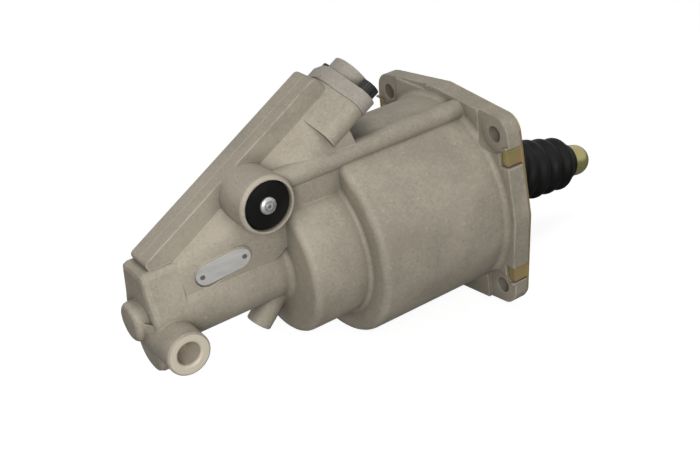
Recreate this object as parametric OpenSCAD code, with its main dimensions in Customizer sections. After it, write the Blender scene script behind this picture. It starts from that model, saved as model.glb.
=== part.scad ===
// Air-assisted clutch actuator: a hydraulic plunger and an air piston in one cast
// aluminium housing push a rod that works the clutch fork. An inclined control valve
// on top of the housing lets air in behind the piston in step with the pedal pressure.
// Frame: +X along the main axis towards the push rod, +Z up, origin at the centre of
// the bolt pattern on the mounting face.

/* [Air cylinder] */
// Bore of the air cylinder
air_bore_d = 102; // [98:0.5:104]
// Wall of the air cylinder
air_wall = 4; // [3:0.5:6]
// Distance from the mounting face to the back of the air cylinder
air_back = 92; // [88:1:98]
// Outside diameter of the spring chamber behind the air cylinder
chamber_d = 82.8; // [80:0.2:86]
// Distance from the mounting face to the back of the spring chamber
chamber_back = 125; // [122:1:130]

/* [Hydraulic cylinder] */
// Bore of the hydraulic cylinder
hydraulic_bore_d = 28; // [26:0.5:29]
// Wall of the hydraulic cylinder
hydraulic_wall = 4.4; // [3.5:0.1:6]
// Distance from the mounting face to the closed end of the casting
hydraulic_back = 202; // [200:1:208]
// Diameter of the hydraulic plunger
plunger_d = 22; // [20:0.5:24]

/* [Mounting flange] */
// Distance between bolt holes along Y and along Z
bolt_pitch = 92; // [90:0.5:94]
// Diameter of the bolt holes
bolt_hole_d = 9; // [8.5:0.5:10]
// Thickness of the cast flange
flange_t = 10.5; // [8:0.5:12]
// Height of the flange at the middle of a side, across the whole flange
flange_across = 122.6; // [120:0.2:128]
// Radius of the flange corners
flange_corner_r = 10.5; // [9:0.5:12]
// Thickness of the end plate
plate_t = 1.5; // [1.2:0.1:3]

/* [Control valve] */
// Angle between the valve and the main axis
valve_tilt = 30; // [28:0.5:32]
// Distance of the valve axis from the origin, square to the valve
valve_off = 104; // [102:0.5:108]
// Bore of the inlet end of the valve
valve_bore_d = 22; // [20:0.5:23]
// Bore of the control piston
control_bore_d = 18; // [16:0.5:19]
// Distance between the two cover screws
cover_pitch = 36; // [35:0.5:38]
// Thickness of the valve cover's flange
cover_t = 8; // [6:0.5:10]
// Diameter of the thread in the air inlet, at its root
air_port_d = 14.5; // [12:0.5:16]

/* [Fluid port and vent] */
// Diameter of the thread in the fluid inlet, at its root
fluid_port_d = 12.5; // [10.5:0.5:13]
// Outside diameter of the fluid inlet boss
fluid_boss_d = 23; // [21:0.2:25]
// Outside diameter of the vent boss
vent_boss_d = 30.6; // [29:0.2:33]
// Diameter of the rubber flap in the vent
flap_d = 25.4; // [22:0.2:25.8]

/* [Push rod and boot] */
// Diameter of the ball on the push rod
ball_d = 18; // [16:0.5:19]
// Diameter of the push rod's shaft
rod_d = 12; // [10:0.5:13]
// Diameter of the push rod's domed head
head_d = 19; // [18:0.5:20]
// Distance from the ball's centre to the centre of the dome
rod_length = 101.7; // [96:0.1:108]
// Angle by which the rod hangs below the main axis
droop = 11.3; // [6:0.1:12]
// Largest diameter of the rubber boot
boot_d = 43; // [40:0.5:46]

/* [Hidden] */

cast_colour = [0.66, 0.62, 0.55];
steel_colour = [0.7, 0.7, 0.72];
zinc_colour = [0.78, 0.68, 0.38];
rubber_colour = [0.08, 0.08, 0.09];
round_fn = 96;
small_fn = 48;
over = 0.1;
gap = 0.3;
slide_gap = 0.06;

// Air cylinder
air_bore_r = air_bore_d / 2;
air_r = air_bore_r + air_wall;
air_end_wall = 6;
chamber_r = chamber_d / 2;
chamber_wall = 5;
chamber_bore_r = chamber_r - chamber_wall;
hydraulic_r = hydraulic_bore_d / 2 + hydraulic_wall;
hydraulic_end_wall = 6;
end_boss_r = 10.5;
end_boss_l = 7;
plunger_r = plunger_d / 2;

// Gland of the plunger, in a sleeve that stands into the spring chamber
gland_r = plunger_r + 5.5;
gland_sleeve_r = gland_r + 5;
seal_t = 4;
bush_t = 8;
circlip_t = 1.4;
circlip_depth = 1.2;
gland_back = -chamber_back + 1;
gland_front = gland_back + seal_t + bush_t + circlip_t + 2.6;

// Flange
hole_at = bolt_pitch / 2;
flange_half = flange_across / 2;
peak_r = 30;
tab_at = 35;
tab_w = 9;
tab_notch = 10.4;
tab_seat = 55;
tab_pocket_x = -8.8;
tab_pocket_y = 51.8;
spot_r = 10.2;
spot_depth = 2;

// Air piston: distances behind the mounting face
ball_x = -10;
piston_front = -6;
piston_back = -24;
hub_front = -2.4;
hub_back = -38;
hub_r = 18;
piston_r = air_bore_r - 0.4;
groove_floor_r = piston_r - 6.6;
seal_front = -15.5;
seal_back = -21;
guide_front = -8.5;
guide_back = -12.5;
guide_floor_r = piston_r - 2;
spring_seat_x = -14;
spring_seat_r0 = 26;
spring_seat_r1 = 42;
ball_r = ball_d / 2;
socket_r = ball_r + gap;
plunger_front = -24.5;
plunger_back = -150;
pin_x = -31;
pin_r = 2.5;
retainer_back = -5.7;
retainer_front = -4.1;
retainer_r = socket_r + 1.2;

// Preload spring
wire_r = 2.2;
spring_turns = 6.5;
spring_r0 = gland_sleeve_r + wire_r + 2;
spring_r1 = (spring_seat_r0 + spring_seat_r1) / 2 + 2;

// Collar of the end plate, which the boot clamps on
collar_r_in = 18;
collar_r_out = 20;
collar_l = 7;
emboss_r = 25;
emboss_l = 1.2;
plate_clear = emboss_l + 0.3;

// Push rod
rod_r = rod_d / 2;
head_r = head_d / 2;
head_l = 19;

// Valve, along its own axis: t runs up the valve from the foot of the origin
cover_seat_t = -28;
cover_top_t = cover_seat_t + cover_t;
collar_top_t = cover_top_t + 8;
collar_r = air_port_d / 2 + 4.95;
ear_r = 7;
ear_l = 22;
cover_mid_r = 15;
valve_bore_end = -62;
control_bore_end = -108;
gallery_end = control_bore_end - 28;
gallery_t = gallery_end + 2;
small_bore_r = 4.5;
gallery_r = 2.5;
bar_t0 = -155.5;
bar_t1 = -31;
bar_half = 8.5;
bar_top = 126;
bar_base = 116;
bar_round = 3;
roof_slope = 0.8;
body_half = 22;
spigot_l = 6;
spigot_r = valve_bore_d / 2 - 0.1;
inlet_seat_front = -44;
inlet_seat_t = 8;
poppet_r = 8;
poppet_t = 3.5;
nose_r = 4;
control_r = control_bore_d / 2 - gap;
control_stem_r = 5;
control_hollow_r = 2.4;
control_groove = 2.2;
control_head_front = valve_bore_end - 4;
control_head_back = control_head_front - 8;
control_tail_back = control_bore_end + 0.1;
control_tail_front = control_bore_end + 9;
control_plunger_back = gallery_end + 7;
control_cup_l = 2.5;
control_plunger_r = small_bore_r - 0.07;
cover_bore_r = 5;
screw_r = 3;
screw_head_r = 5;
screw_head_h = 6;
screw_l = 16;

// Fluid inlet and vent
port_x = -194;
port_z = -9;
port_face = -33;
port_floor = -15;
vent_x = -138;
vent_z = 48.5;
vent_face = -31;
vent_recess = 5;
flap_r = flap_d / 2;
vent_seat_t = 1.5;
flap_t = 1.8;
vent_hole_r = 8;

// Breather channel that runs beside the air cylinder to its front end
channel_y = -18.5;
channel_z = 53;
channel_r = 5.8;
channel_bore_r = 2.6;

// Plain boss under the casting, where the two smaller cylinders meet
drain_tip = [-140.7, -32.2];
drain_r = 7;
drain_l = 22;
drain_rise = 45;

// Mouth of the gallery, which a plug closes
plug_r = 3.3;
plug_l = 5;
gallery_mouth = 55.8;

// Deepened closed end of the casting
head_front = -183;
head_drop = 17.5;
head_low_r = 14;
head_top_r = 4;
head_top = [8.5, 24];

// Nameplate
name_l = 29.5;
name_w = 12.3;
name_t = 0.6;
name_pitch = 23.1;
name_at = [-161.1, -16.6, 19.2];
name_lean = 11;
name_yaw = -6.9;
name_roll = 10;
pad_margin = 0.8;
pad_depth = 4;

function arc(c, r, a0, a1, n = 6) =
    [for (i = [0:n]) let (a = a0 + (a1 - a0) * i / n) [c[0] + r * cos(a), c[1] + r * sin(a)]];

function mix(a, b, f) = a + (b - a) * f;

// A solid turned about the main axis from [radius, x] points
module turned(points, fn = round_fn) {
    rotate([0, 90, 0]) rotate_extrude($fn = fn) polygon(points);
}

// A plain ring about the main axis
module ring(r_in, r_out, x0, x1) {
    turned([[r_in, x0], [r_out, x0], [r_out, x1], [r_in, x1]]);
}

// A round bar along the main axis
module bar_x(r, x0, x1, fn = small_fn) {
    translate([x0, 0, 0]) rotate([0, 90, 0]) cylinder(r = r, h = x1 - x0, $fn = fn);
}

// Places children in the valve's frame, with z along the valve and x away from the outer face
module on_valve(t, y = 0) {
    rotate([0, -valve_tilt, 0]) translate([t, y, valve_off]) rotate([0, 90, 0]) children();
}

// A round bar along the valve
module bar_t(r, t0, t1, y = 0, fn = small_fn) {
    on_valve(t0, y) cylinder(r = r, h = t1 - t0, $fn = fn);
}

// A solid turned about the valve axis from [radius, t] points
module valve_turned(points, fn = small_fn) {
    on_valve(0) rotate_extrude($fn = fn) polygon(points);
}

// A round bar along -Y that starts at y0
module bar_y(r, x, z, y0, y1, fn = small_fn) {
    translate([x, y0, z]) rotate([90, 0, 0]) cylinder(r = r, h = y0 - y1, $fn = fn);
}

// A boss along -Y with a rounded outer rim
module round_boss(r, x, z, face, rim) {
    translate([x, 0, z]) rotate([90, 0, 0]) rotate_extrude($fn = 64) polygon(concat(
        [[0, 3], [r, 3]],
        arc([r - rim, -face - rim], rim, 0, 90, 4),
        [[0, -face]]
    ));
}

// A wire swept along a conical coil, closed at both ends
module coil(r0, r1, z0, z1, turns, wire, per_turn = 16, sides = 6) {
    rings = ceil(turns * per_turn);
    dead = 0.75 * per_turn;
    lift = [for (i = [0:rings]) (min(max(i - dead, 0), rings - 2 * dead)) / (rings - 2 * dead)];
    points = [
        for (i = [0:rings]) for (k = [0:sides - 1])
            let (
                a = 360 * i / per_turn,
                b = 360 * k / sides,
                r = mix(r0, r1, i / rings) + wire * cos(b)
            ) [r * cos(a), r * sin(a), mix(z0 + wire, z1 - wire, lift[i]) + wire * sin(b)]
    ];
    sides_faces = [
        for (i = [0:rings - 1]) for (k = [0:sides - 1])
            let (k2 = (k + 1) % sides)
                [i * sides + k, i * sides + k2, (i + 1) * sides + k2, (i + 1) * sides + k]
    ];
    cap0 = [for (k = [0:sides - 1]) sides - 1 - k];
    cap1 = [for (k = [0:sides - 1]) rings * sides + k];
    polyhedron(points, concat(sides_faces, [cap0, cap1]), convexity = 10);
}

// Outline of the flange and the end plate: rounded corners and a blunt peak on each side
module flange_outline(shrink = 0) {
    hull() {
        for (sy = [-1, 1]) for (sz = [-1, 1])
            translate([sy * hole_at, sz * hole_at]) circle(r = flange_corner_r - shrink, $fn = 32);
        for (a = [0:90:270])
            rotate(a) translate([flange_half - peak_r, 0]) circle(r = peak_r - shrink, $fn = 24);
    }
}

// Extrudes a Y-Z outline along X
module slab_x(x0, x1) {
    translate([x0, 0, 0]) rotate([90, 0, 90]) linear_extrude(height = x1 - x0) children();
}

module bolt_holes(x0, x1) {
    for (sy = [-1, 1]) for (sz = [-1, 1])
        translate([0, sy * hole_at, sz * hole_at]) bar_x(bolt_hole_d / 2, x0, x1);
}

// Coaxial body: closed end, hydraulic cylinder, spring chamber, air cylinder
module housing_barrels() {
    back = -hydraulic_back;
    turned(concat(
        [[0, back - end_boss_l]],
        arc([end_boss_r - 3, back - end_boss_l + 3], 3, -90, 0, 4),
        [[end_boss_r, back]],
        arc([hydraulic_r - 3, back + 3], 3, -90, 0, 4),
        arc([hydraulic_r + 3, -chamber_back - 3], 3, 180, 90, 4),
        arc([chamber_r - 4, -chamber_back + 4], 4, -90, 0, 5),
        arc([chamber_r + 2, -air_back - 2], 2, 180, 90, 3),
        arc([air_r - 4, -air_back + 4], 4, -90, 0, 5),
        arc([air_r + 3, -plate_t - flange_t - 3], 3, 180, 90, 4),
        [[0, -plate_t - flange_t]]
    ), 120);
}

module housing_cavity() {
    front = gland_front;
    groove = gland_back + seal_t + bush_t;
    turned([
        [0, -hydraulic_back + hydraulic_end_wall],
        [hydraulic_bore_d / 2, -hydraulic_back + hydraulic_end_wall],
        [hydraulic_bore_d / 2, gland_back],
        [gland_r, gland_back],
        [gland_r, groove],
        [gland_r + circlip_depth, groove],
        [gland_r + circlip_depth, groove + circlip_t + 0.1],
        [gland_r, groove + circlip_t + 0.1],
        [gland_r, front],
        [gland_sleeve_r, front],
        [gland_sleeve_r, -chamber_back + chamber_wall],
        [chamber_bore_r, -chamber_back + chamber_wall],
        [chamber_bore_r, -air_back + air_end_wall],
        [air_bore_r, -air_back + air_end_wall],
        [air_bore_r, over],
        [0, over]
    ], 120);
}

// Thick bar along the valve's outer side, with rounded ends
module housing_bar() {
    rotate([0, -valve_tilt, 0]) translate([0, bar_half, 0]) rotate([90, 0, 0])
        linear_extrude(height = 2 * bar_half) polygon(concat(
            [[bar_t0, bar_base - 8]],
            arc([bar_t0 + 2.5, bar_top - 2.5], 2.5, 180, 90, 3),
            arc([bar_t1 - bar_round, bar_top - bar_round], bar_round, 90, 0, 4),
            [[bar_t1, bar_base - 8]]
        ));
}

// Main sections of the web under the bar: distance along the valve, half width at the edge
// of the sloping roof, then x, half width and z where the side wall meets the barrels
web_stations = [
    [-154.5, 12, -200, 15.3, 9],
    [-146, 12.7, -189, 15.3, 9],
    [-137, 13.9, -178, 15.3, 9],
    [-127, 16.2, -167, 15.3, 9],
    [-118, 19, -156, 15.4, 9],
    [-108, 21.4, -144, 15.5, 9],
    [-98, body_half, -133, 15.7, 9],
    [-86, body_half, -121, 18, 19],
    [-72, body_half, -107, 20.5, 32],
    [-56, body_half, -91, 21.3, 36],
    [-36, body_half, -74, 21.5, 40]
];
web_round = 6;
web_steps = 3;

// A smooth curve through the main sections
function between(p, i, f) =
    let (a = p[max(i - 1, 0)], b = p[i], c = p[i + 1], d = p[min(i + 2, len(p) - 1)])
        b + (c - a) * f / 2 + (2 * a - 5 * b + 4 * c - d) * pow(f, 2) / 2
            + (3 * b - a - 3 * c + d) * pow(f, 3) / 2;

function from_valve(t, n) =
    [t * cos(valve_tilt) - n * sin(valve_tilt), t * sin(valve_tilt) + n * cos(valve_tilt)];

// A smooth turn from a towards c past the corner b
function turn(a, b, c, f) = mix(mix(a, b, f), mix(b, c, f), f);

function web_side(s) =
    let (
        top_y = bar_half + 0.5,
        top2 = from_valve(s[0], bar_base),
        edge2 = from_valve(s[0], bar_base - roof_slope * (s[1] - top_y)),
        top = [top2[0], top_y, top2[1]],
        edge = [edge2[0], s[1], edge2[1]],
        low = [s[2], s[3], s[4]],
        from = mix(edge, top, 0.6),
        to = mix(edge, low, 0.45)
    ) concat([top], [for (i = [0:web_round]) turn(from, edge, to, i / web_round)], [low]);

function mirrored(points) =
    [for (i = [len(points) - 1:-1:0]) [points[i][0], -points[i][1], points[i][2]]];

// Sloping shoulders and flared side walls between the bar and the barrels
module housing_web() {
    last_station = len(web_stations) - 1;
    stations = [
        for (i = [0:last_station - 1]) for (j = [0:web_steps - 1])
            between(web_stations, i, j / web_steps),
        web_stations[last_station]
    ];
    n = len(stations);
    half = web_round + 3;
    m = 2 * half;
    points = [for (s = stations) each concat(web_side(s), mirrored(web_side(s)))];
    sides = [
        for (i = [0:n - 2]) for (k = [0:m - 1])
            let (a = m * i + k, b = m * i + (k + 1) % m)
                each k < half ? [[a, b + m, a + m], [a, b, b + m]] : [[a, b, a + m], [b, b + m, a + m]]
    ];
    last = m * (n - 1);
    ends = [for (k = [1:m - 2]) each [[0, k + 1, k], [last, last + k, last + k + 1]]];
    polyhedron(points, concat(sides, ends), convexity = 6);
}

// Top end of the valve body, where the cover and its screws seat
module cover_section(trim = 0) {
    hull() {
        circle(r = cover_mid_r - trim, $fn = 48);
        for (s = [-1, 1]) translate([0, s * cover_pitch / 2]) circle(r = ear_r - trim, $fn = 32);
    }
}

module housing_valve_end() {
    on_valve(cover_seat_t - ear_l) linear_extrude(height = ear_l) cover_section(0.4);
    bar_t(valve_bore_d / 2 + 3, -90, cover_seat_t);
}

// Outline of the closed end, which stands above and below the hydraulic cylinder
module head_outline(trim) {
    hull() {
        circle(r = hydraulic_r - trim, $fn = 32);
        translate([0, -head_drop]) circle(r = head_low_r - trim, $fn = 32);
        for (s = [-1, 1])
            translate([s * head_top[0], head_top[1]]) circle(r = head_top_r - trim, $fn = 16);
    }
}

// Closed end that carries the fluid inlet, with a rounded rim and a gusset to the end boss
module housing_head() {
    back = -hydraulic_back;
    hull() {
        slab_x(back + 3, head_front) head_outline(0);
        slab_x(back + 0.9, head_front - 1) head_outline(0.9);
        slab_x(back, head_front - 2) head_outline(3);
    }
    polyhedron(
        [[back - 5.5, -7, 4], [back + 1, -16, 2], [back + 1, -12.5, -11], [back + 1, -3, 0]],
        [[0, 1, 2], [0, 3, 1], [0, 2, 3], [1, 3, 2]]
    );
}

module housing_channel() {
    translate([0, channel_y, channel_z]) bar_x(channel_r, vent_x, -plate_t - flange_t + 1);
    translate([vent_x, channel_y - 1.5, 30]) cube([-air_back - vent_x + 4, 7, channel_z - 30]);
}

module housing_holes() {
    bolt_holes(-plate_t - flange_t - over, over);
    for (sy = [-1, 1]) for (sz = [-1, 1]) {
        tab_pocket(sy, sz * tab_at);
        spot_face(sy, sz);
    }
    spot_face_relief();
    bar_t(valve_bore_d / 2, valve_bore_end, cover_seat_t + over);
    bar_t(control_bore_d / 2, control_bore_end, valve_bore_end + over);
    bar_t(small_bore_r, gallery_end, control_bore_end + over);
    for (s = [-1, 1])
        bar_t(2.5, cover_seat_t - screw_l + cover_t - 1, cover_seat_t + over, s * cover_pitch / 2);
    bar_y(fluid_port_d / 2, port_x, port_z, port_floor, port_face - over);
    translate([port_x, port_face + 0.8, port_z]) rotate([90, 0, 0])
        cylinder(r1 = fluid_port_d / 2, r2 = fluid_port_d / 2 + 0.9, h = 0.9, $fn = small_fn);
    bar_y(3, port_x, port_z, 0, port_floor - over);
    bar_y(flap_r + 0.5, vent_x, vent_z, vent_face + vent_recess, vent_face - over);
    bar_y(vent_hole_r, vent_x, vent_z, -13, vent_face);
    bar_y(5, vent_x, vent_z, 0, -14);
    translate([0, channel_y, channel_z]) bar_x(channel_bore_r, vent_x + 3, -7);
    on_nameplate() linear_extrude(height = pad_depth) name_outline(pad_margin);
    rotate([atan(-channel_y / channel_z), 0, 0]) translate([-9, 0, air_bore_r - 2])
        cylinder(r = 2, h = 6, $fn = 24);
    translate([-104, 0, 30]) cylinder(r = 3, h = 30, $fn = 24);
    rotate([0, -valve_tilt, 0]) translate([gallery_t, 0, gallery_mouth - 4]) {
        cylinder(r = gallery_r, h = valve_off - gallery_mouth + 4, $fn = 24);
        cylinder(r = plug_r, h = plug_l + 4, $fn = 24);
    }
}

// Notch for a crimped tab, deeper at the back where its hook sits
module tab_pocket(side, z) {
    back = -plate_t - flange_t - 2;
    translate([back, side > 0 ? tab_seat : -tab_seat - 10, z - tab_notch / 2])
        cube([over - back, 10, tab_notch]);
    translate([back, side > 0 ? tab_pocket_y : -tab_pocket_y - 10, z - tab_notch / 2])
        cube([tab_pocket_x - back, 10, tab_notch]);
}

// Lowered seat for a bolt head, open to the corner of the flange
module spot_face(side_y, side_z) {
    floor_x = -plate_t - flange_t + spot_depth;
    gap_z = tab_at + tab_notch / 2 + 1;
    translate([0, side_y * hole_at, side_z * hole_at]) bar_x(spot_r, floor_x - 4, floor_x);
    scale([1, side_y, side_z]) {
        translate([floor_x - 4, hole_at - spot_r, hole_at]) cube([4, 30, 30]);
        translate([floor_x - 4, hole_at, gap_z]) cube([4, 30, 30]);
    }
}

// Clearance under the air fitting, beside the far upper bolt
module spot_face_relief() {
    floor_x = -plate_t - flange_t + spot_depth;
    translate([floor_x - 4, 8, air_r + 2.5]) cube([4, 40, 12]);
}

module housing() {
    color(cast_colour) difference() {
        union() {
            difference() {
                union() {
                    housing_barrels();
                    housing_head();
                    housing_web();
                    slab_x(-plate_t - flange_t, -plate_t) flange_outline();
                    housing_channel();
                    translate([drain_tip[0], 0, drain_tip[1]]) rotate([0, 90 - drain_rise, 0])
                        rotate_extrude($fn = small_fn) polygon(concat(
                            [[0, 0]], arc([drain_r - 1.2, 1.2], 1.2, -90, 0, 3), [[drain_r, drain_l], [0, drain_l]]
                        ));
                    round_boss(fluid_boss_d / 2, port_x, port_z, port_face, 1);
                    on_nameplate() translate([0, 0, -pad_depth]) linear_extrude(height = pad_depth)
                        name_outline(pad_margin);
                }
                housing_cavity();
            }
            housing_bar();
            housing_valve_end();
            round_boss(vent_boss_d / 2, vent_x, vent_z, vent_face, 2.4);
        }
        housing_holes();
    }
}

// Pressed end plate with a collar for the boot and four tabs crimped over the flange
module end_plate() {
    hook = 1.4;
    color(zinc_colour) {
        difference() {
            union() {
                slab_x(-plate_t, 0) flange_outline(0.6);
                bar_x(emboss_r, -plate_t, emboss_l, 96);
                bar_x(collar_r_out, -plate_t, collar_l, 96);
                for (sy = [-1, 1]) for (sz = [-1, 1]) end_plate_tab(sy, sz * tab_at, hook);
            }
            bar_x(collar_r_in, -plate_t - over, collar_l + over, 96);
            bolt_holes(-plate_t - over, over);
        }
    }
}

module end_plate_tab(side, z, hook) {
    back = tab_pocket_x - hook - 0.1;
    leg = 1.5;
    reach = tab_seat + 0.1 + leg;
    translate([back, side > 0 ? reach - leg : -reach, z - tab_w / 2]) cube([-back, leg, tab_w]);
    translate([back, side > 0 ? tab_pocket_y + 0.4 : -reach, z - tab_w / 2])
        cube([hook, reach - tab_pocket_y - 0.4, tab_w]);
}

module air_piston() {
    color(steel_colour) difference() {
        turned([
            [0, hub_back],
            [hub_r, hub_back],
            [hub_r, spring_seat_x],
            [spring_seat_r0, spring_seat_x],
            [spring_seat_r1, spring_seat_x],
            [spring_seat_r1, piston_back],
            [piston_r, piston_back],
            [piston_r, seal_back],
            [groove_floor_r, seal_back],
            [groove_floor_r, seal_front],
            [piston_r, seal_front],
            [piston_r, guide_back],
            [guide_floor_r, guide_back],
            [guide_floor_r, guide_front],
            [piston_r, guide_front],
            [piston_r, piston_front],
            [hub_r + 4, piston_front],
            [hub_r - 1, hub_front],
            [0, hub_front]
        ], 120);
        translate([ball_x, 0, 0]) sphere(r = socket_r, $fn = small_fn);
        bar_x(socket_r, ball_x, hub_front + over);
        ring(socket_r - 1, retainer_r, retainer_back, retainer_front);
        bar_x(plunger_r, hub_back - over, plunger_front);
        translate([pin_x, 0, -hub_r - over]) cylinder(r = pin_r, h = 2 * hub_r + 2 * over, $fn = small_fn);
    }
}

// Lip seal with its open side towards the air behind the piston
module piston_seal() {
    lip_r = air_bore_r - gap;
    w = seal_front - seal_back - 0.4;
    color(rubber_colour) translate([seal_back + 0.2, 0, 0]) turned([
        [groove_floor_r, 0],
        [groove_floor_r + 1.8, 0],
        [groove_floor_r + 2.6, w - 2.6],
        [lip_r - 2.4, w - 2.6],
        [lip_r - 1.2, 0],
        [lip_r, 0],
        [lip_r, 1],
        [lip_r - 0.6, w],
        [groove_floor_r, w]
    ]);
}

module guide_ring() {
    color([0.2, 0.28, 0.24])
        ring(guide_floor_r, air_bore_r - gap, guide_back + 0.1, guide_front - 0.1);
}

module plunger() {
    color(steel_colour) difference() {
        turned([
            [0, plunger_back],
            [plunger_r - 1.5, plunger_back],
            [plunger_r, plunger_back + 2.6],
            [plunger_r, plunger_front - 1],
            [plunger_r - 1, plunger_front],
            [0, plunger_front]
        ]);
        translate([pin_x, 0, -plunger_r - over])
            cylinder(r = pin_r, h = 2 * plunger_r + 2 * over, $fn = small_fn);
    }
}

module plunger_pin() {
    color(steel_colour) translate([pin_x, 0, -hub_r + 0.5])
        cylinder(r = pin_r, h = 2 * hub_r - 1, $fn = small_fn);
}

// Snap ring that keeps the ball in its socket
module rod_retainer() {
    color(steel_colour) rotate([0, 90, 0]) rotate([0, 0, 20]) translate([0, 0, retainer_back + 0.1])
        rotate_extrude(angle = 325, $fn = 64)
            translate([ball_r - 0.6, 0]) square([retainer_r - ball_r + 0.4, retainer_front - retainer_back - 0.2]);
}

module preload_spring() {
    color(steel_colour) rotate([0, 90, 0])
        coil(spring_r0, spring_r1, -chamber_back + chamber_wall + 0.05, spring_seat_x - 0.05,
            spring_turns, wire_r);
}

module guide_bush() {
    color([0.72, 0.55, 0.28])
        ring(plunger_r + slide_gap, gland_r, gland_back + seal_t, gland_back + seal_t + bush_t);
}

module plunger_seal() {
    color(rubber_colour) ring(plunger_r + gap, gland_r, gland_back, gland_back + seal_t);
}

module gland_circlip() {
    x = gland_back + seal_t + bush_t;
    color(steel_colour) rotate([0, 90, 0]) rotate([0, 0, 160]) translate([0, 0, x])
        rotate_extrude(angle = 320, $fn = 64)
            translate([gland_r - 2.6, 0]) square([2.6 + circlip_depth - 0.1, circlip_t]);
}

// Places children on the push rod: z runs out along the rod from the ball's centre
module on_rod() {
    translate([ball_x, 0, 0]) rotate([0, 90 + droop, 0]) children();
}

module push_rod() {
    neck = rod_length - head_l;
    color(zinc_colour) on_rod() rotate_extrude($fn = 64) polygon(concat(
        arc([0, 0], ball_r, -90, 48, 14),
        [
            [rod_r, ball_r * sin(48) + 1.5],
            [rod_r, neck - 4],
            [head_r - 1, neck],
            [head_r, neck + 1]
        ],
        arc([0, rod_length], head_r, 0, 90, 10)
    ));
}

// The boot is a sleeve of pleats swept along a line that leaves the plate square and
// bends down to the rod. Distances along it are counted from the ball's centre.
boot_start = plate_clear - ball_x;
boot_end = rod_length - 6.8;
first_crest = 22.6;
last_crest = 85.2;
pleat_gaps = 6;
pleat_pitch = (last_crest - first_crest) / pleat_gaps;
pleat_depth = 3.4;
pleat_steps = 6;
crest_r0 = boot_d / 2;
crest_r1 = 16.3;
boot_sides = 32;
boot_bend_l = 40;
boot_wall = 1.5;
boot_foot_r = collar_r_out + gap + 1.6;
boot_lip_r = head_r + gap + 1.2;
boot_lip_in = head_r + gap;

function boot_line(s) =
    let (
        w = max(0, min(1, (s - boot_start - collar_l) / boot_bend_l)),
        on_axis = [ball_x + s, 0],
        drooped = [ball_x + s * cos(droop), -s * sin(droop)]
    ) mix(on_axis, drooped, w * w * (3 - 2 * w));

function boot_tilt(s) =
    let (a = boot_line(s - 0.5), b = boot_line(s + 0.5)) atan2(a[1] - b[1], b[0] - a[0]);

function pleat_r(s) =
    let (k = (s - first_crest) / pleat_pitch)
        mix(crest_r0, crest_r1, k / pleat_gaps) - pleat_depth / 2 * (1 - cos(360 * k));

// Rings of the boot as [distance, outer radius, inner radius]
boot_rings = concat(
    [
        [boot_start, boot_foot_r, collar_r_out + gap],
        [boot_start + collar_l, boot_foot_r, collar_r_out + gap],
        [boot_start + collar_l + 1.2, boot_foot_r - 1.8, collar_r_out - 1.4]
    ],
    [
        for (i = [0:pleat_gaps * pleat_steps + 1])
            let (s = first_crest + i * pleat_pitch / pleat_steps)
                [s, pleat_r(s), pleat_r(s) - boot_wall]
    ],
    [
        [last_crest + 4.6, 13.6, 11.6],
        [last_crest + 6, 12.2, boot_lip_in],
        [last_crest + 7, boot_lip_r, boot_lip_in],
        [boot_end, boot_lip_r, boot_lip_in]
    ]
);

// One skin of the boot; the inner skin runs past both ends so that it cuts them open
module boot_skin(side) {
    n = len(boot_rings);
    ends = side == 2 ? over : 0;
    points = [
        for (i = [0:n - 1])
            let (
                s = boot_rings[i][0] + (i == 0 ? -ends : i == n - 1 ? ends : 0),
                c = boot_line(s),
                tilt = boot_tilt(s),
                r = boot_rings[i][side]
            )
            for (k = [0:boot_sides - 1])
                let (a = 360 * k / boot_sides, u = r * cos(a))
                    [c[0] + u * sin(tilt), r * sin(a), c[1] + u * cos(tilt)]
    ];
    faces = [
        for (i = [0:n - 2]) for (k = [0:boot_sides - 1])
            let (k2 = (k + 1) % boot_sides, a = i * boot_sides, b = a + boot_sides)
                each [[a + k, a + k2, b + k2], [a + k, b + k2, b + k]]
    ];
    cap0 = [for (k = [0:boot_sides - 1]) boot_sides - 1 - k];
    cap1 = [for (k = [0:boot_sides - 1]) (n - 1) * boot_sides + k];
    polyhedron(points, concat(faces, [cap0, cap1]), convexity = 10);
}

module boot() {
    color(rubber_colour) difference() {
        boot_skin(1);
        boot_skin(2);
    }
}

module valve_cover() {
    color(cast_colour) difference() {
        union() {
            on_valve(cover_seat_t) linear_extrude(height = cover_t) cover_section();
            bar_t(collar_r, cover_top_t - 1, collar_top_t);
            bar_t(spigot_r, cover_seat_t - spigot_l, cover_seat_t + 1);
        }
        bar_t(air_port_d / 2, cover_seat_t, collar_top_t + over);
        bar_t(cover_bore_r, cover_seat_t - spigot_l - over, cover_seat_t + over);
        for (s = [-1, 1])
            bar_t(screw_r + 0.3, cover_seat_t - over, cover_top_t + over, s * cover_pitch / 2);
        valve_turned([
            [spigot_r - 1.9, cover_seat_t - 4.2],
            [spigot_r + over, cover_seat_t - 4.2],
            [spigot_r + over, cover_seat_t - 1.8],
            [spigot_r - 1.9, cover_seat_t - 1.8]
        ]);
    }
}

module cover_oring() {
    color(rubber_colour) on_valve(cover_seat_t - 3)
        rotate_extrude($fn = small_fn) translate([spigot_r - 0.95, 0]) circle(r = 0.95, $fn = 24);
}

module cover_screws() {
    color([0.1, 0.1, 0.11]) for (s = [-1, 1]) difference() {
        union() {
            bar_t(screw_head_r, cover_top_t, cover_top_t + screw_head_h, s * cover_pitch / 2);
            bar_t(2.5, cover_top_t - screw_l, cover_top_t + 1, s * cover_pitch / 2);
        }
        bar_t(2.9, cover_top_t + screw_head_h - 3.2, cover_top_t + screw_head_h + over,
            s * cover_pitch / 2, 6);
    }
}

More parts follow.
